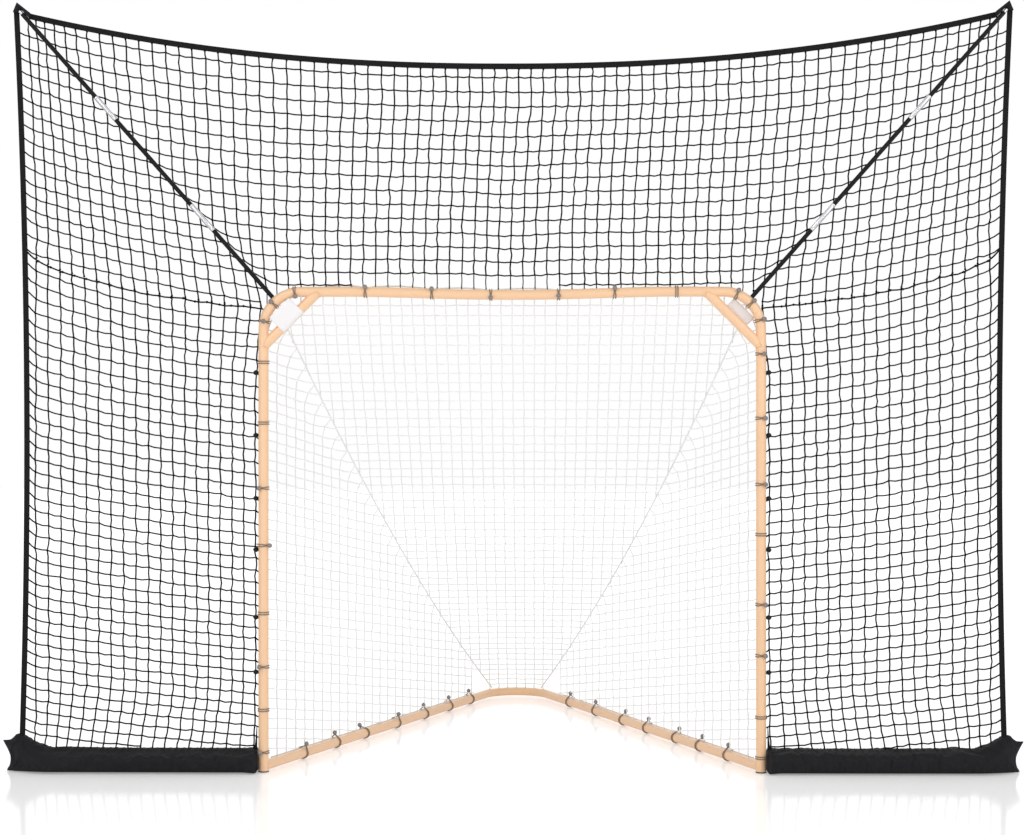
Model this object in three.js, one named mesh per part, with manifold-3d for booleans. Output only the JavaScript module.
import * as THREE from 'three';
import { mergeVertices } from 'three/addons/utils/BufferGeometryUtils.js';
import Module from 'manifold-3d';

const wasm = await Module();
wasm.setup();

// A lacrosse goal with a wide backstop net, in millimetres, +Z up.
// X runs along the crossbar, Y runs from the mouth to the rear of the goal.
// While it is built, Y = 0 is the plane of the two posts. The last lines centre the whole goal.

// Goal frame
const mouthWidth = 1829;
const frameHeight = 1822;
const goalDepth = 2134;
const tubeDiameter = 38;
const tubeWall = 1.2;
const elbowRadius = 140;
const elbowLeg = 78;
const braceReach = 205;
const crossbarSag = 12;
const crossbarStraightEnd = 100;
const rearBendRadius = 150;
const rearBendFlat = 8;
const rearBendLeg = 104;

// What joins the tubes
const seatGap = 0.3;
const sleeveWall = 1.5;
const sleeveReach = 70;
const stubCollar = 12;
const footFlangeThickness = 4;
const footFlangeLip = 1.5;
const footSkirt = 26;
const buttonDiameter = 8;
const buttonHoleClearance = 0.4;
const buttonStandsProud = 3.5;
const buttonFromJoint = 45;
const buttonHeadDepth = 9.5;
const leafLength = 38;
const leafThickness = 0.8;
const cutOverrun = 2;
const weldInset = 8;

// Ropes and elastic ball ties
const greyRopeDiameter = 6;
const blackRopeDiameter = 5;
const tieCord = 4;
const greyBall = 18;
const blackBall = 21;
const ballEmbedding = 4;
const tieFromPole = 24;

// Backstop
const backstopPlane = 14;
const backstopHalfWidthHigh = 1878;
const backstopFootInset = 18;
const backstopBow = 30;
const backstopHeight = 2864;
const topBandEndDrop = 12;
const topBandSag = 190;
const topBandCurvePower = 2.2;
const topBandWidth = 22;
const edgeBandWidth = 21;
const bandThickness = 3;
const pocketTipRise = 30;
const pocketRodClearance = 4;
const pocketThickness = 24;
const pocketTipInset = 15;
const pocketSeatDrop = 8;
const seamBelowFrame = 78;
const seamRiseNear = 44;
const seamRiseFar = 166;
const seamInnerHalfWidth = 938;
const netAboveFrame = 36;
const swingClearance = 4;

// Diagonal poles
const poleEndInset = 24;
const poleEndDrop = 2;
const rodDiameter = 14;
const ferruleDiameter = 16;
const ferruleClearance = 0.3;
const lowerFerruleLength = 128;
const upperFerruleLength = 114;
const middleRodShare = 0.362;
const upperRodShare = 0.354;
const poleTipLength = 18;
const poleTipDiameter = 13;
const polePinDiameter = 7;
const polePinLength = 20;
const polePinClearance = 1.8;

// Sand sleeves on the floor
const sandSleeveHeight = 98;
const sandSleeveRise = 50;
const sandSleeveDepth = 190;
const sandSleeveOverhang = 46;
const sandSleeveRisePower = 4;
const sandSleeveTaperShare = 0.15;
const sandSleeveSpacing = 0.6;
const sleeveNetGap = 2;

// Nets
const goalNetThickness = 3;
const goalNetStrand = 4;
const blackNetThickness = 3;
const blackNetStrand = 5;
const seamCordDiameter = 5;
const netSeamSag = 100;
const netSeamSteps = 6;
const netSeamTurnShare = 0.52;
const rearSeamReachShare = 1.085;
const probeShare = 0.001;

// Gaps of the nets, fewer than the real ones
const sidePanelColumns = 6;
const sidePanelRows = 5;
const backPanelColumns = 7;
const backPanelRows = 8;
const upperNetColumns = 17;
const upperNetRows = 4;
const sideNetColumns = 5;
const sideNetRows = 6;
const settleSteps = 4;

// Facets of the round pieces
const tubeSides = 12;
const rodSides = 8;
const ropeSides = 6;
const ringSegments = 8;
const ringSides = 3;
const elbowSteps = 6;
const rearArcSteps = 4;
const crossbarSteps = 6;
const edgeBandSteps = 6;
const sleeveSteps = 6;
const sleeveSectionSteps = 10;

// Places of the ties, as shares of the frame's height, of half the mouth and of the elbow's turn
const greyTieHeightShares = {
  left: [0.041, 0.128, 0.217, 0.327, 0.467, 0.585, 0.719, 0.844],
  right: [0.041, 0.114, 0.241, 0.346, 0.49, 0.593, 0.729, 0.861],
};
const elbowTieShares = { left: [0.13, 0.9], right: [0.15, 0.77] };
const crossbarTieShares = [-0.602, -0.329, -0.087, 0.191, 0.421, 0.675];
const baseTieShares = {
  left: [0.159, 0.284, 0.399, 0.563, 0.697, 0.826, 0.938],
  right: [0.124, 0.236, 0.339, 0.475, 0.592, 0.735, 0.879],
};
const blackTieHeightShares = [0.206, 0.319, 0.458, 0.564, 0.694, 0.823];

// Worked out from the sizes above
const tubeRadius = tubeDiameter / 2;
const tubeBore = tubeRadius - tubeWall;
const sleeveRadius = tubeBore - seatGap;
const ringInner = (tubeRadius + seatGap) / Math.cos(Math.PI / ringSegments);
const ringFlat = (tieCord / 2) * Math.cos(Math.PI / ringSides);
const ringOuter = ringInner + ringFlat + tieCord / 2;
const blackRingInner = (tubeRadius + greyRopeDiameter + 2 * seatGap)
  / Math.cos(Math.PI / ringSegments);
const blackRingOuter = blackRingInner + ringFlat + tieCord / 2;
const postX = mouthWidth / 2 + tubeRadius;
const crossbarZ = frameHeight - tubeRadius;
const elbowX = postX - elbowRadius;
const elbowZ = crossbarZ - elbowRadius;
const crossbarJointX = elbowX - elbowLeg;
const baseZ = ringOuter;
const postFootZ = footFlangeThickness + seatGap;
const sandSleeveStart = postX + ringOuter + sandSleeveSpacing;
const backstopHalfWidthLow = backstopHalfWidthHigh - backstopFootInset;
const sandSleeveEnd = backstopHalfWidthLow + sandSleeveOverhang;
const seamHeight = frameHeight - seamBelowFrame;
const topBandMiddleHeight = backstopHeight - topBandEndDrop - topBandSag;
const poleEndX = backstopHalfWidthHigh - poleEndInset;
const poleEndZ = backstopHeight - poleEndDrop;
const poleTurn = Math.atan2(poleEndZ - elbowZ, poleEndX - elbowX);
const pocketLowDrop = topBandEndDrop + topBandWidth - poleEndDrop;
const pocketWidth = poleEndInset + (pocketLowDrop * Math.cos(poleTurn)
  + rodDiameter / 2 + pocketRodClearance) / Math.sin(poleTurn);

const up = new THREE.Vector3(0, 0, 1);
const back = new THREE.Vector3(0, 1, 0);
const sides = { left: -1, right: 1 };

// Finishes
const finish = (color, roughness, metalness = 0) => (
  new THREE.MeshStandardMaterial({ color, roughness, metalness }));
const orangePaint = finish(0xf6b983, 0.42, 0.1);
const blackPlastic = finish(0x1c1c1e, 0.6);
const zincSteel = finish(0xb9bcc0, 0.35, 0.9);
const brightAluminium = finish(0xd8dadc, 0.3, 0.9);
const blackRod = finish(0x141415, 0.45);
const whiteNet = finish(0xeceded, 0.8);
const whiteRope = finish(0xf0efe8, 0.8);
const blackNet = finish(0x17171a, 0.85);
const blackWebbing = finish(0x1f1f22, 0.85);
const blackFabric = finish(0x2a2a2c, 0.9);

const goal = new THREE.Group();

function addPiece(name, geometry, material) {
  const mesh = new THREE.Mesh(geometry, material);
  mesh.name = name;
  goal.add(mesh);
  return mesh;
}

// Joining and cutting
function solidFrom(geometry) {
  const bare = geometry.clone();
  bare.deleteAttribute('normal');
  bare.deleteAttribute('uv');
  const merged = mergeVertices(bare, 1e-4);
  return new wasm.Manifold(new wasm.Mesh({
    numProp: 3,
    vertProperties: new Float32Array(merged.attributes.position.array),
    triVerts: new Uint32Array(merged.index.array),
  }));
}

function geometryFrom(solid) {
  const mesh = solid.getMesh();
  const geometry = new THREE.BufferGeometry();
  geometry.setAttribute('position', new THREE.BufferAttribute(mesh.vertProperties, 3));
  geometry.setIndex(new THREE.BufferAttribute(mesh.triVerts, 1));
  return geometry;
}

function joined(geometries) {
  return geometryFrom(geometries.map(solidFrom).reduce((all, next) => all.add(next)));
}

function cutAway(geometry, cutters) {
  return geometryFrom(cutters.map(solidFrom)
    .reduce((rest, cutter) => rest.subtract(cutter), solidFrom(geometry)));
}

// Paths: a list of stations, each with its point and its direction
class StationPath extends THREE.Curve {
  constructor(points) {
    super();
    this.points = points;
  }

  stationAt(share) {
    return Math.round(share * (this.points.length - 1));
  }

  getPointAt(share, target = new THREE.Vector3()) {
    return target.copy(this.points[this.stationAt(share)]);
  }

  getTangentAt(share, target = new THREE.Vector3()) {
    const at = this.stationAt(share);
    const here = this.points[at];
    const arriving = new THREE.Vector3();
    const leaving = new THREE.Vector3();
    if (at > 0) arriving.subVectors(here, this.points[at - 1]).normalize();
    if (at < this.points.length - 1) leaving.subVectors(this.points[at + 1], here).normalize();
    return target.addVectors(arriving, leaving).normalize();
  }
}

function polygon(radius, count) {
  return Array.from({ length: count }, (_, i) => {
    const angle = (2 * Math.PI * i) / count;
    return new THREE.Vector2(radius * Math.cos(angle), radius * Math.sin(angle));
  });
}

function roundBar(points, radius, count, bore = 0) {
  const section = new THREE.Shape(polygon(radius, count));
  if (bore > 0) section.holes.push(new THREE.Path(polygon(bore, count).reverse()));
  return new THREE.ExtrudeGeometry(section, {
    steps: points.length - 1,
    extrudePath: new StationPath(points),
  });
}

const tube = (points) => roundBar(points, tubeRadius, tubeSides, tubeBore);
const tubeEnvelope = (points) => roundBar(points, tubeRadius + seatGap, tubeSides);
const along = (start, direction, distance) => start.clone().addScaledVector(direction, distance);

// The bent upright: foot, straight post, elbow and the short leg that the crossbar joins
function elbowPoint(side, turn, radius = elbowRadius) {
  return new THREE.Vector3(
    side * (elbowX + radius * Math.cos(turn)), 0, elbowZ + radius * Math.sin(turn));
}

function elbowTurns() {
  return Array.from({ length: elbowSteps + 1 }, (_, i) => (i / elbowSteps) * (Math.PI / 2));
}

function uprightPoints(side) {
  return [
    new THREE.Vector3(side * postX, 0, postFootZ),
    ...elbowTurns().map((turn) => elbowPoint(side, turn)),
    new THREE.Vector3(side * (crossbarJointX + seatGap / 2), 0, crossbarZ),
  ];
}

// The crossbar hangs a little between its two straight ends
function crossbarDrop(x) {
  const share = Math.min(Math.abs(x) / (crossbarJointX - crossbarStraightEnd), 1);
  return crossbarSag * (1 - share ** 2) ** 2;
}

function crossbarPoints(end) {
  const bowed = crossbarJointX - crossbarStraightEnd;
  const middle = Array.from({ length: crossbarSteps + 1 }, (_, i) => (
    bowed * ((2 * i) / crossbarSteps - 1)));
  return [-end, ...middle, end].map((x) => (
    new THREE.Vector3(x, 0, crossbarZ - crossbarDrop(x))));
}

// The V of the base: each base tube runs from a post to the rear bend, square to its own radius
const toBendX = postX - rearBendFlat / 2;
const toBendY = goalDepth - rearBendRadius;
const baseSlant = Math.atan2(toBendX, toBendY)
  - Math.asin(rearBendRadius / Math.hypot(toBendX, toBendY));
const baseDirection = (side) => (
  new THREE.Vector3(-side * Math.sin(baseSlant), Math.cos(baseSlant), 0));
const baseOutward = (side) => (
  new THREE.Vector3(side * Math.cos(baseSlant), Math.sin(baseSlant), 0));
const baseFoot = (side) => new THREE.Vector3(side * postX, 0, baseZ);
const bendCentre = (side) => new THREE.Vector3(side * (rearBendFlat / 2), toBendY, baseZ);
const bendStart = (side) => along(bendCentre(side), baseOutward(side), rearBendRadius);
const baseJointAt = baseFoot(1).distanceTo(bendStart(1)) - rearBendLeg;
const baseTubeStart = tubeRadius + stubCollar;

function basePoint(side, distance) {
  return along(baseFoot(side), baseDirection(side), distance);
}

function rearArc(side) {
  return Array.from({ length: rearArcSteps + 1 }, (_, i) => {
    const turn = baseSlant + (i / rearArcSteps) * (Math.PI / 2 - baseSlant);
    const outward = new THREE.Vector3(side * Math.cos(turn), Math.sin(turn), 0);
    return along(bendCentre(side), outward, rearBendRadius);
  });
}

function rearBendPoints() {
  return [
    basePoint(sides.left, baseJointAt + seatGap / 2),
    ...rearArc(sides.left),
    ...rearArc(sides.right).reverse(),
    basePoint(sides.right, baseJointAt + seatGap / 2),
  ];
}

// A place between two stations of a bent bar, which is straight there
function placeOn(points, at, share) {
  return {
    centre: new THREE.Vector3().lerpVectors(points[at], points[at + 1], share),
    direction: new THREE.Vector3().subVectors(points[at + 1], points[at]).normalize(),
  };
}

// Elastic ball ties: a ring of cord round the tube, with a ball on it
function ring(centre, direction, cornerDirection, inner) {
  const geometry = new THREE.TorusGeometry(
    inner + ringFlat, tieCord / 2, ringSides, ringSegments);
  const across = new THREE.Vector3().crossVectors(cornerDirection, direction);
  geometry.applyMatrix4(new THREE.Matrix4().makeBasis(across, cornerDirection, direction));
  return geometry.translate(centre.x, centre.y, centre.z);
}

function ballOn(centre, direction, ringRadius, diameter) {
  const place = along(centre, direction.clone().normalize(),
    ringRadius + diameter / 2 - ballEmbedding);
  const geometry = new THREE.IcosahedronGeometry(diameter / 2);
  return geometry.translate(place.x, place.y, place.z);
}

function greyTie(centre, direction, cornerDirection, ballDirection) {
  return [ring(centre, direction, cornerDirection, ringInner),
    ballOn(centre, ballDirection, ringOuter, greyBall)];
}

const greyRopeOffset = tubeRadius + seatGap + greyRopeDiameter / 2;
const diagonal = (a, b) => new THREE.Vector3().addVectors(a, b).normalize();
const greyRope = (points) => roundBar(points, greyRopeDiameter / 2, ropeSides);

// A net: strands along and across a surface, given by a place for each pair of shares
function stepAlong(place, from, to) {
  return place(...to).sub(place(...from)).normalize();
}

function netSheet(columns, rows, strand, thickness, place) {
  const strandSide = (line, count, side) => {
    if (line === 0) return side * strand;
    if (line === count) return (side - 1) * strand;
    return (side - 1 / 2) * strand;
  };
  const cutsAcross = 2 * (columns + 1);
  const cutsUp = 2 * (rows + 1);
  const points = [];
  for (let b = 0; b < cutsUp; b += 1) {
    for (let a = 0; a < cutsAcross; a += 1) {
      const [line, level] = [Math.floor(a / 2), Math.floor(b / 2)];
      const [u, v] = [line / columns, level / rows];
      const across = stepAlong(place, [Math.max(u - probeShare, 0), v],
        [Math.min(u + probeShare, 1), v]);
      const upward = stepAlong(place, [u, Math.max(v - probeShare, 0)],
        [u, Math.min(v + probeShare, 1)]);
      const normal = new THREE.Vector3().crossVectors(across, upward).normalize();
      const point = place(u, v);
      point.addScaledVector(across, strandSide(line, columns, a % 2));
      point.addScaledVector(upward, strandSide(level, rows, b % 2));
      points.push(along(point, normal, thickness / 2), along(point, normal, -thickness / 2));
    }
  }
  const indices = [];
  const at = (a, b, behind) => 2 * (b * cutsAcross + a) + behind;
  const quad = (p, q, r, t) => indices.push(p, q, r, p, r, t);
  const isSolid = (a, b) => (
    a >= 0 && b >= 0 && a < cutsAcross - 1 && b < cutsUp - 1 && (a % 2 === 0 || b % 2 === 0));
  for (let b = 0; b < cutsUp - 1; b += 1) {
    for (let a = 0; a < cutsAcross - 1; a += 1) {
      if (!isSolid(a, b)) continue;
      quad(at(a, b, 0), at(a + 1, b, 0), at(a + 1, b + 1, 0), at(a, b + 1, 0));
      quad(at(a, b, 1), at(a, b + 1, 1), at(a + 1, b + 1, 1), at(a + 1, b, 1));
      if (!isSolid(a, b - 1)) quad(at(a, b, 1), at(a + 1, b, 1), at(a + 1, b, 0), at(a, b, 0));
      if (!isSolid(a, b + 1)) {
        quad(at(a, b + 1, 0), at(a + 1, b + 1, 0), at(a + 1, b + 1, 1), at(a, b + 1, 1));
      }
      if (!isSolid(a - 1, b)) quad(at(a, b, 0), at(a, b + 1, 0), at(a, b + 1, 1), at(a, b, 1));
      if (!isSolid(a + 1, b)) {
        quad(at(a + 1, b, 1), at(a + 1, b + 1, 1), at(a + 1, b + 1, 0), at(a + 1, b, 0));
      }
    }
  }
  const geometry = new THREE.BufferGeometry().setFromPoints(points);
  geometry.setIndex(indices);
  geometry.computeVertexNormals();
  return geometry;
}

function placed(geometry, place) {
  const position = geometry.attributes.position;
  for (let i = 0; i < position.count; i += 1) {
    const point = place(position.getX(i), position.getY(i), position.getZ(i));
    position.setXYZ(i, point.x, point.y, point.z);
  }
  return geometry;
}

// Goal frame pieces
function addUpright(name, side) {
  addPiece(`${name}_upright`, tube(uprightPoints(side)), orangePaint);
}

function addBrace(name, side) {
  const onPost = new THREE.Vector3(side * postX, 0, crossbarZ - braceReach);
  const onBar = new THREE.Vector3(side * (postX - braceReach), 0, crossbarZ);
  const direction = new THREE.Vector3().subVectors(onBar, onPost).normalize();
  const bar = tube([along(onPost, direction, weldInset), along(onBar, direction, -weldInset)]);
  const brace = cutAway(bar, [tubeEnvelope(uprightPoints(side))]);
  addPiece(`${name}_corner_brace`, brace, orangePaint);
}

function addFootPlug(name, side) {
  const flange = tubeRadius + footFlangeLip;
  const profile = [[0, 0], [flange, 0], [flange, footFlangeThickness],
    [sleeveRadius, footFlangeThickness], [sleeveRadius, footSkirt + footFlangeThickness],
    [0, footSkirt + footFlangeThickness]];
  const plug = new THREE.LatheGeometry(
    profile.map(([radius, height]) => new THREE.Vector2(radius, height)), tubeSides);
  plug.rotateX(Math.PI / 2);
  plug.translate(side * postX, 0, 0);
  addPiece(`${name}_foot_plug`, plug, blackPlastic);
}

// A spring button: its hole goes through the tube and the inner sleeve
function buttonHole(centre, outward) {
  const start = along(centre, outward, sleeveRadius / 2);
  const end = along(centre, outward, tubeRadius + cutOverrun);
  return roundBar([start, end], buttonDiameter / 2 + buttonHoleClearance, rodSides);
}

function buttonPiece(centre, outward, alongTube) {
  const headTop = tubeRadius + buttonStandsProud;
  const headLow = headTop - buttonHeadDepth;
  const head = roundBar([along(centre, outward, headLow), along(centre, outward, headTop)],
    buttonDiameter / 2, rodSides);
  const leaf = new THREE.BoxGeometry(buttonDiameter, leafLength, leafThickness);
  const leafMiddle = along(along(centre, outward, headLow), alongTube,
    leafLength / 2 - buttonDiameter / 2);
  const across = new THREE.Vector3().crossVectors(alongTube, outward);
  leaf.applyMatrix4(new THREE.Matrix4().makeBasis(across, alongTube, outward));
  leaf.translate(leafMiddle.x, leafMiddle.y, leafMiddle.z);
  return joined([head, leaf]);
}

function innerSleeve(start, direction) {
  const points = [along(start, direction, -sleeveReach), along(start, direction, sleeveReach)];
  return roundBar(points, sleeveRadius, tubeSides, sleeveRadius - sleeveWall);
}

function addCrossbar() {
  const holes = Object.values(sides).map((side) => (
    buttonHole(new THREE.Vector3(side * (crossbarJointX - buttonFromJoint), 0, crossbarZ), back)));
  const bar = tube(crossbarPoints(crossbarJointX - seatGap / 2));
  addPiece('crossbar', cutAway(bar, holes), orangePaint);
  Object.entries(sides).forEach(([name, side]) => {
    const inward = new THREE.Vector3(-side, 0, 0);
    const joint = new THREE.Vector3(side * crossbarJointX, 0, crossbarZ);
    const centre = along(joint, inward, buttonFromJoint);
    const sleeve = cutAway(innerSleeve(joint, inward), [buttonHole(centre, back)]);
    addPiece(`crossbar_sleeve_${name}`, sleeve, zincSteel);
    addPiece(`crossbar_button_${name}`,
      buttonPiece(centre, back, inward.clone().negate()), zincSteel);
  });
}

function addBase() {
  addPiece('rear_bend', tube(rearBendPoints()), orangePaint);
  Object.entries(sides).forEach(([name, side]) => {
    const direction = baseDirection(side);
    const outward = baseOutward(side);
    const nearButton = basePoint(side, baseTubeStart + buttonFromJoint);
    const farButton = basePoint(side, baseJointAt - buttonFromJoint);
    const holes = [buttonHole(nearButton, outward), buttonHole(farButton, outward)];
    const bar = tube([basePoint(side, baseTubeStart + seatGap),
      basePoint(side, baseJointAt - seatGap / 2)]);
    addPiece(`${name}_base_tube`, cutAway(bar, holes), orangePaint);

    const stubStart = basePoint(side, weldInset);
    const collar = roundBar([stubStart, basePoint(side, baseTubeStart)],
      tubeRadius, tubeSides, sleeveRadius - sleeveWall);
    const spigot = roundBar([stubStart, basePoint(side, baseTubeStart + sleeveReach)],
      sleeveRadius, tubeSides, sleeveRadius - sleeveWall);
    const stub = cutAway(joined([collar, spigot]),
      [tubeEnvelope(uprightPoints(side)), buttonHole(nearButton, outward)]);
    addPiece(`${name}_foot_stub`, stub, orangePaint);
    addPiece(`foot_button_${name}`, buttonPiece(nearButton, outward, direction), zincSteel);

    const rearSleeve = innerSleeve(basePoint(side, baseJointAt), direction);
    addPiece(`rear_sleeve_${name}`, cutAway(rearSleeve, [buttonHole(farButton, outward)]), zincSteel);
    addPiece(`rear_button_${name}`,
      buttonPiece(farButton, outward, direction), zincSteel);
  });
}

// Lacing of the white goal net: a rope along each tube, with the grey ball ties on it
function addUprightLacing(name, side) {
  const outwardX = new THREE.Vector3(side, 0, 0);
  const ropeTop = elbowTurns().map((turn) => {
    const outward = new THREE.Vector3(side * Math.cos(turn), 0, Math.sin(turn));
    return along(elbowPoint(side, turn), diagonal(outward, back), greyRopeOffset);
  });
  const foot = new THREE.Vector3(side * postX, 0, baseZ + tubeRadius);
  const leg = new THREE.Vector3(side * (crossbarJointX + seatGap), 0, crossbarZ);
  const rope = greyRope([along(foot, diagonal(outwardX, back), greyRopeOffset), ...ropeTop,
    along(leg, diagonal(up, back), greyRopeOffset)]);
  const front = back.clone().negate();
  const postTies = greyTieHeightShares[name].flatMap((share, i) => {
    const centre = new THREE.Vector3(side * postX, 0, share * frameHeight);
    return greyTie(centre, up, back, i === 0 ? front : outwardX);
  });
  const besidePoleShare = (poleTurn - tieFromPole / elbowRadius) / (Math.PI / 2);
  const points = elbowTurns().map((turn) => elbowPoint(side, turn));
  const elbowTies = [...elbowTieShares[name], besidePoleShare].flatMap((share) => {
    const at = Math.floor(share * elbowSteps);
    const { centre, direction } = placeOn(points, at, share * elbowSteps - at);
    return greyTie(centre, direction, back, front);
  });
  addPiece(`${name}_upright_lacing`, joined([rope, ...postTies, ...elbowTies]), whiteRope);
}

function addCrossbarLacing() {
  const points = crossbarPoints(crossbarJointX - seatGap);
  const rope = greyRope(points.map((point) => along(point, diagonal(up, back), greyRopeOffset)));
  const ballDirection = back.clone().multiplyScalar(-4 / 3).add(up);
  const ties = crossbarTieShares.flatMap((share) => {
    const x = share * (mouthWidth / 2);
    const next = points.findIndex((point) => point.x > x);
    const last = points[next - 1].x;
    const { centre, direction } = placeOn(points, next - 1, (x - last) / (points[next].x - last));
    return greyTie(centre, direction, back, ballDirection);
  });
  addPiece('crossbar_lacing', joined([rope, ...ties]), whiteRope);
}

function addBaseLacing(name, side) {
  const outward = baseOutward(side);
  const start = basePoint(side, baseTubeStart + buttonFromJoint + buttonDiameter * 2);
  const end = basePoint(side, baseJointAt - buttonFromJoint - buttonDiameter * 2);
  const rope = greyRope([start, end]
    .map((point) => along(point, diagonal(outward, up), greyRopeOffset)));
  const ballDirection = along(up.clone().multiplyScalar(2), outward, -1);
  const ties = baseTieShares[name].flatMap((share) => (
    greyTie(basePoint(side, share * goalDepth), baseDirection(side), up, ballDirection)));
  addPiece(`${name}_base_lacing`, joined([rope, ...ties]), whiteRope);
}

// White goal net: two side panels over the base tubes and a sloping back panel
const netEdge = ringOuter + seatGap;
const sideNetFoot = baseZ + netEdge;
const bendNetFoot = baseZ + tubeRadius + seatGap + goalNetThickness / 2;
const sideNetEnd = baseJointAt - seatGap;
const netSeamTop = elbowPoint(1, netSeamTurnShare * (Math.PI / 2));
const netSeamReach = rearSeamReachShare * baseJointAt;
const halfSeamCord = seamCordDiameter / 2;

function elbowCentreX(height) {
  const above = Math.max(height - elbowZ, 0);
  return elbowX + Math.sqrt(elbowRadius ** 2 - above ** 2);
}

function netSeamDrop(share) {
  return 4 * netSeamSag * share * (1 - share);
}

// A point of a side panel, by its distance from the post and its share of the height there
function sidePanelPoint(side, distance, heightShare) {
  const share = distance / netSeamReach;
  const top = netSeamTop.z + share * (bendNetFoot - netSeamTop.z) - netSeamDrop(share);
  const frontHeight = sideNetFoot + heightShare * (netSeamTop.z - sideNetFoot);
  const lean = (postX - elbowCentreX(frontHeight)) * (1 - share);
  const point = basePoint(side, distance);
  point.x -= side * lean;
  point.z = sideNetFoot + heightShare * (top - sideNetFoot);
  return point;
}

function netSeamPoint(side, share) {
  const start = netEdge;
  return sidePanelPoint(side, start + share * (netSeamReach - start), 1);
}

function addSideNet(name, side) {
  const start = blackRingOuter + seatGap;
  const place = (u, v) => {
    const point = sidePanelPoint(side, start + u * (sideNetEnd - start), v);
    point.z -= (seamCordDiameter + seatGap) * v;
    return point;
  };
  const net = netSheet(sidePanelColumns, sidePanelRows, goalNetStrand, goalNetThickness, place);
  addPiece(`goal_net_${name}`, net, whiteNet);
}

// The height of the frame's axis over x: the crossbar, then the elbow
function frameAxisZ(x) {
  const beyond = Math.max(Math.abs(x) - elbowX, 0);
  return elbowZ + Math.sqrt(elbowRadius ** 2 - beyond ** 2) - crossbarDrop(x);
}

function rearBendY(x) {
  const beyond = Math.max(Math.abs(x) - rearBendFlat / 2, 0);
  return toBendY + Math.sqrt(rearBendRadius ** 2 - beyond ** 2);
}

function addBackNet() {
  const topHalf = Math.abs(netSeamPoint(1, 0).x) - seamCordDiameter;
  const lowHalf = Math.abs(netSeamPoint(1, 1).x) - seamCordDiameter;
  const place = (u, v) => {
    const share = 1 - v;
    const across = 2 * u - 1;
    const topY = netEdge + goalNetThickness / 2;
    const topZ = frameAxisZ(across * topHalf);
    return new THREE.Vector3(
      across * (topHalf + share * (lowHalf - topHalf)),
      topY + share * (rearBendY(across * lowHalf) - topY),
      topZ + share * (bendNetFoot - topZ) - netSeamDrop(share));
  };
  const net = netSheet(backPanelColumns, backPanelRows, goalNetStrand, goalNetThickness, place);
  addPiece('goal_net_back', net, whiteNet);
}

function addNetSeam(name, side) {
  const points = Array.from({ length: netSeamSteps + 1 }, (_, i) => (
    netSeamPoint(side, i / netSeamSteps)));
  points.forEach((point) => {
    point.z += halfSeamCord - goalNetThickness / 2;
  });
  addPiece(`goal_net_seam_${name}`, roundBar(points, halfSeamCord, ropeSides), whiteRope);
}

// Backstop outlines: half width over height, top band over x, and the seam over the side nets
function backstopHalfWidth(height) {
  const share = height / backstopHeight;
  return backstopHalfWidthLow + share * (backstopHalfWidthHigh - backstopHalfWidthLow)
    - 4 * backstopBow * share * (1 - share);
}

const pocketBottomHalfWidth = backstopHalfWidthHigh - pocketWidth;

function topBandTop(x) {
  return topBandMiddleHeight
    + topBandSag * (Math.abs(x) / pocketBottomHalfWidth) ** topBandCurvePower;
}

const seamOuterHalfWidth = backstopHalfWidth(seamHeight) - edgeBandWidth;

function seamZ(x) {
  const share = (Math.abs(x) - seamInnerHalfWidth) / (seamOuterHalfWidth - seamInnerHalfWidth);
  return seamHeight + seamRiseNear * share + seamRiseFar * share ** 2;
}

const bandSplitZ = seamZ(seamOuterHalfWidth);
const netGapToBand = edgeBandWidth + 3 * seatGap;

function upperNetLow(x) {
  const hung = elbowRadius + tubeRadius + netAboveFrame;
  const beyond = Math.max(Math.abs(x) - elbowX, 0);
  const overFrame = beyond < hung ? elbowZ + Math.sqrt(hung ** 2 - beyond ** 2) : 0;
  const overSeam = Math.abs(x) < seamInnerHalfWidth ? 0
    : seamZ(x) + blackRopeDiameter / 2 + swingClearance;
  return Math.max(overFrame, overSeam);
}

function addUpperNet() {
  const place = (u, v) => {
    const across = 2 * u - 1;
    const underPocket = Math.max(0, v * upperNetRows - (upperNetRows - 1));
    const point = new THREE.Vector3(across * pocketBottomHalfWidth, backstopPlane, 0);
    for (let i = 0; i < settleSteps; i += 1) {
      const low = upperNetLow(point.x);
      const top = topBandTop(point.x) - topBandWidth - seatGap;
      point.z = low + v * (top - low);
      const atBand = backstopHalfWidth(point.z) - netGapToBand;
      point.x = across * (atBand + underPocket * (pocketBottomHalfWidth - atBand));
    }
    return point;
  };
  const net = netSheet(upperNetColumns, upperNetRows, blackNetStrand, blackNetThickness, place);
  addPiece('backstop_net_upper', net, blackNet);
}

// Black rope of a side net: down from the edge band along the seam, then down the post
const blackRopeFromPost = Math.sqrt((ringOuter + tieCord + seatGap) ** 2 - backstopPlane ** 2);
const blackRopeX = postX + blackRopeFromPost;

function sandSleeveTop(x) {
  const share = (Math.abs(x) - sandSleeveStart) / (sandSleeveEnd - sandSleeveStart);
  return sandSleeveHeight + sandSleeveRise * share ** sandSleeveRisePower;
}

const sideNetInner = postX + blackRingOuter + seatGap;

function sideNetOuter(z) {
  return backstopHalfWidth(z) - netGapToBand;
}

function seamStations() {
  const end = sideNetOuter(bandSplitZ);
  return Array.from({ length: sideNetColumns }, (_, i) => (
    end + (i / sideNetColumns) * (sideNetInner - end)));
}

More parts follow.
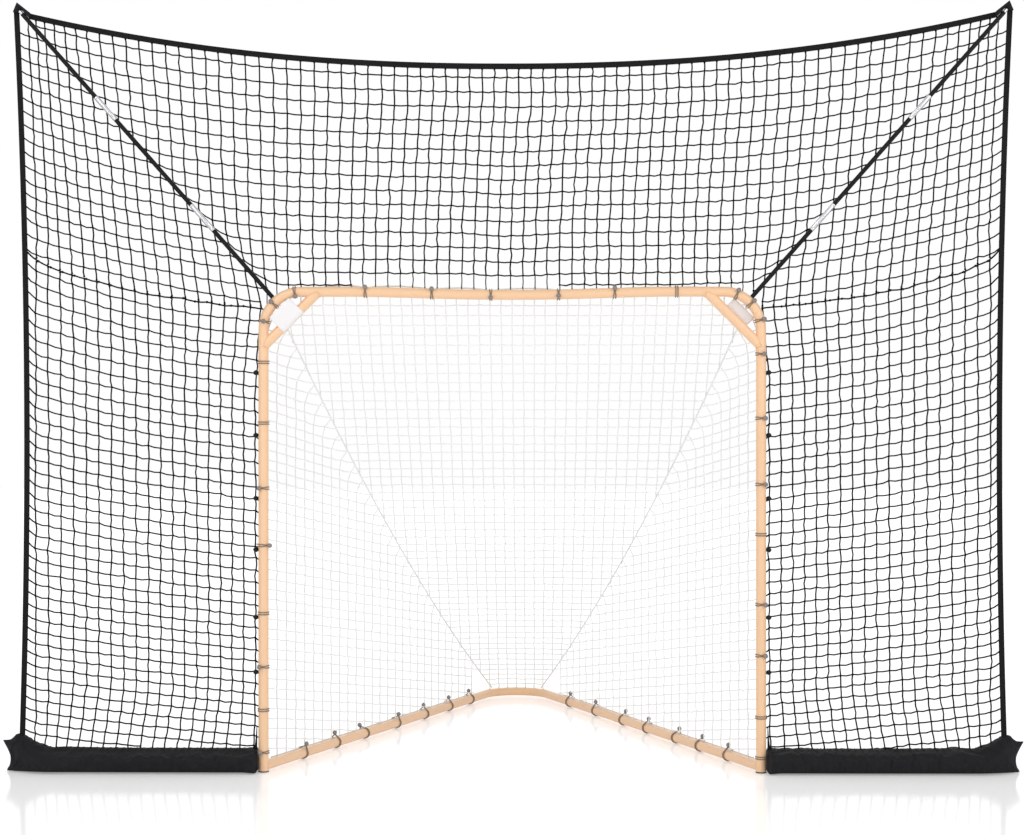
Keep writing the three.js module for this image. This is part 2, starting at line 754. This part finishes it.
function addSideNetRope(name, side) {
  const seam = [...seamStations(), blackRopeX].map((x) => (
    new THREE.Vector3(side * x, backstopPlane, seamZ(x))));
  const foot = new THREE.Vector3(side * blackRopeX, backstopPlane,
    sandSleeveTop(blackRopeX) + blackRopeDiameter / 2);
  const rope = roundBar([...seam, foot], blackRopeDiameter / 2, ropeSides);
  const ballDirection = new THREE.Vector3(side, 1, 0);
  const ties = blackTieHeightShares.flatMap((share) => {
    const centre = new THREE.Vector3(side * postX, 0, share * frameHeight);
    return [ring(centre, up, back, blackRingInner),
      ballOn(centre, ballDirection, blackRingOuter, blackBall)];
  });
  addPiece(`side_net_rope_${name}`, joined([rope, ...ties]), blackNet);
}

function addSideBackstopNet(name, side) {
  const place = (u, v) => {
    const lowOutside = sandSleeveTop(sideNetOuter(0));
    const outer = sideNetOuter(lowOutside + v * (bandSplitZ - lowOutside));
    const x = sideNetInner + u * (outer - sideNetInner);
    const low = sandSleeveTop(x) + sleeveNetGap;
    const top = seamZ(x) - blackRopeDiameter / 2 - seatGap;
    return new THREE.Vector3(side * x, backstopPlane, low + v * (top - low));
  };
  const net = netSheet(sideNetColumns, sideNetRows, blackNetStrand, blackNetThickness, place);
  addPiece(`backstop_net_${name}`, net, blackNet);
}

// Webbing of the backstop
function flatBand(stations, thickness) {
  const outline = [...stations.map(([first]) => first),
    ...stations.map(([, second]) => second).reverse()];
  const shape = new THREE.Shape(outline.map((p) => new THREE.Vector2(p[0], p[1])));
  const geometry = new THREE.ExtrudeGeometry(shape, { depth: thickness, bevelEnabled: false });
  geometry.rotateX(Math.PI / 2);
  geometry.translate(0, backstopPlane + thickness / 2, 0);
  return geometry;
}

function addTopBand() {
  const stations = Array.from({ length: upperNetColumns + 1 }, (_, i) => {
    const x = pocketBottomHalfWidth * ((2 * i) / upperNetColumns - 1);
    return [[x, topBandTop(x) - topBandWidth], [x, topBandTop(x)]];
  });
  addPiece('backstop_top_band', flatBand(stations, bandThickness), blackWebbing);
}

function addEdgeBand(name, side, low, high) {
  const stations = Array.from({ length: edgeBandSteps + 1 }, (_, i) => {
    const z = low + (i / edgeBandSteps) * (high - low);
    const outer = backstopHalfWidth(z);
    return [[side * outer, z], [side * (outer - edgeBandWidth), z]];
  });
  addPiece(name, flatBand(stations, bandThickness), blackWebbing);
}

// A pointed fabric pocket over the tip of each pole
function addCornerPocket(name, side) {
  const outer = backstopHalfWidthHigh;
  const bandEnd = topBandTop(pocketBottomHalfWidth);
  const tip = [side * (outer - pocketTipInset), backstopHeight + pocketTipRise];
  const mouth = polePoint(side, poleReach + seatGap);
  const across = new THREE.Vector3(side * Math.sin(poleTurn), 0, -Math.cos(poleTurn));
  const inner = along(mouth, across, -(rodDiameter / 2 + seatGap));
  const lower = along(mouth, across, rodDiameter / 2 + seatGap);
  const outline = [[side * outer, backstopHeight - pocketSeatDrop], tip,
    [side * (pocketBottomHalfWidth + seatGap), bandEnd],
    [side * (pocketBottomHalfWidth + seatGap), bandEnd - topBandWidth],
    [inner.x, inner.z], [lower.x, lower.z]];
  const shape = new THREE.Shape(outline.map((p) => new THREE.Vector2(p[0], p[1])));
  const geometry = new THREE.ExtrudeGeometry(shape,
    { depth: pocketThickness, bevelEnabled: false });
  geometry.rotateX(Math.PI / 2);
  geometry.translate(0, backstopPlane + bandThickness / 2, 0);
  addPiece(`corner_pocket_${name}`, geometry, blackFabric);
}

// Diagonal poles: rods joined by ferrules, seated on a pin of the elbow
const poleReach = Math.hypot(poleEndZ - elbowZ, poleEndX - elbowX);
const poleSeat = elbowRadius + tubeRadius + seatGap;
const rodsShown = poleReach - poleTipLength - upperFerruleLength - lowerFerruleLength - poleSeat;
const poleDirection = (side) => (
  new THREE.Vector3(side * Math.cos(poleTurn), 0, Math.sin(poleTurn)));

function polePoint(side, distance) {
  return along(elbowPoint(side, 0, 0), poleDirection(side), distance);
}

function addPole(name, side) {
  const rod = rodDiameter / 2;
  const bar = (from, to, radius, bore = 0) => (
    roundBar([polePoint(side, from), polePoint(side, to)], radius, rodSides, bore));
  const tipLow = poleReach - poleTipLength;
  const upperFerruleTop = tipLow - upperRodShare * rodsShown;
  const upperFerruleLow = upperFerruleTop - upperFerruleLength;
  const lowerFerruleTop = upperFerruleLow - middleRodShare * rodsShown;
  const lowerFerruleLow = lowerFerruleTop - lowerFerruleLength;
  const upperMeeting = (upperFerruleTop + upperFerruleLow) / 2;
  const lowerMeeting = (lowerFerruleTop + lowerFerruleLow) / 2;
  const pinRadius = polePinDiameter / 2;
  const lowerRod = cutAway(bar(poleSeat, lowerMeeting - seatGap / 2, rod),
    [bar(poleSeat - cutOverrun, poleSeat + polePinLength + cutOverrun,
      pinRadius + polePinClearance)]);
  addPiece(`pole_lower_rod_${name}`, lowerRod, blackRod);
  addPiece(`pole_middle_rod_${name}`,
    bar(lowerMeeting + seatGap / 2, upperMeeting - seatGap / 2, rod), blackRod);
  addPiece(`pole_upper_rod_${name}`, bar(upperMeeting + seatGap / 2, tipLow, rod), blackRod);
  const bore = rod + ferruleClearance;
  addPiece(`pole_lower_ferrule_${name}`,
    bar(lowerFerruleLow, lowerFerruleTop, ferruleDiameter / 2, bore), brightAluminium);
  addPiece(`pole_upper_ferrule_${name}`,
    bar(upperFerruleLow, upperFerruleTop, ferruleDiameter / 2, bore), brightAluminium);
  addPiece(`pole_tip_${name}`,
    bar(tipLow + seatGap, poleReach, poleTipDiameter / 2), brightAluminium);
  const pin = cutAway(bar(elbowRadius, poleSeat + polePinLength, pinRadius),
    [tubeEnvelope(uprightPoints(side))]);
  addPiece(`pole_pin_${name}`, pin, zincSteel);
}

// Sand sleeves: long fabric bags on the floor under the side nets
function addSandSleeve(name, side) {
  const half = sandSleeveDepth / 2;
  const rim = Array.from({ length: sleeveSectionSteps + 1 }, (_, i) => {
    const turn = (i / sleeveSectionSteps) * Math.PI;
    return new THREE.Vector2(half * Math.cos(turn), sandSleeveHeight * Math.sin(turn));
  });
  const length = sandSleeveEnd - sandSleeveStart;
  const geometry = new THREE.ExtrudeGeometry(new THREE.Shape(rim),
    { depth: length, steps: sleeveSteps, bevelEnabled: false });
  const place = (across, height, depth) => {
    const x = sandSleeveStart + depth;
    const share = depth / length;
    const narrowed = across * (1 - sandSleeveTaperShare * share ** 2);
    return new THREE.Vector3(side * x, backstopPlane + side * narrowed,
      height * (sandSleeveTop(x) / sandSleeveHeight));
  };
  addPiece(`sand_sleeve_${name}`, placed(geometry, place), blackFabric);
}

addCrossbar();
addBase();
addCrossbarLacing();
addBackNet();
addUpperNet();
addTopBand();
Object.entries(sides).forEach(([name, side]) => {
  addUpright(name, side);
  addBrace(name, side);
  addFootPlug(name, side);
  addUprightLacing(name, side);
  addBaseLacing(name, side);
  addSideNet(name, side);
  addNetSeam(name, side);
  addSideNetRope(name, side);
  addSideBackstopNet(name, side);
  addEdgeBand(`edge_band_lower_${name}`, side,
    sandSleeveTop(backstopHalfWidthLow) + sleeveNetGap, bandSplitZ);
  addEdgeBand(`edge_band_upper_${name}`, side,
    bandSplitZ + swingClearance, backstopHeight - pocketSeatDrop - seatGap);
  addCornerPocket(name, side);
  addPole(name, side);
  addSandSleeve(name, side);
});

// The origin lies on the floor, under the middle of the whole goal
const front = backstopPlane - sandSleeveDepth / 2;
const rear = goalDepth + tubeRadius;
goal.position.y = -(front + rear) / 2;

const part = new THREE.Group();
part.add(goal);

export default part;
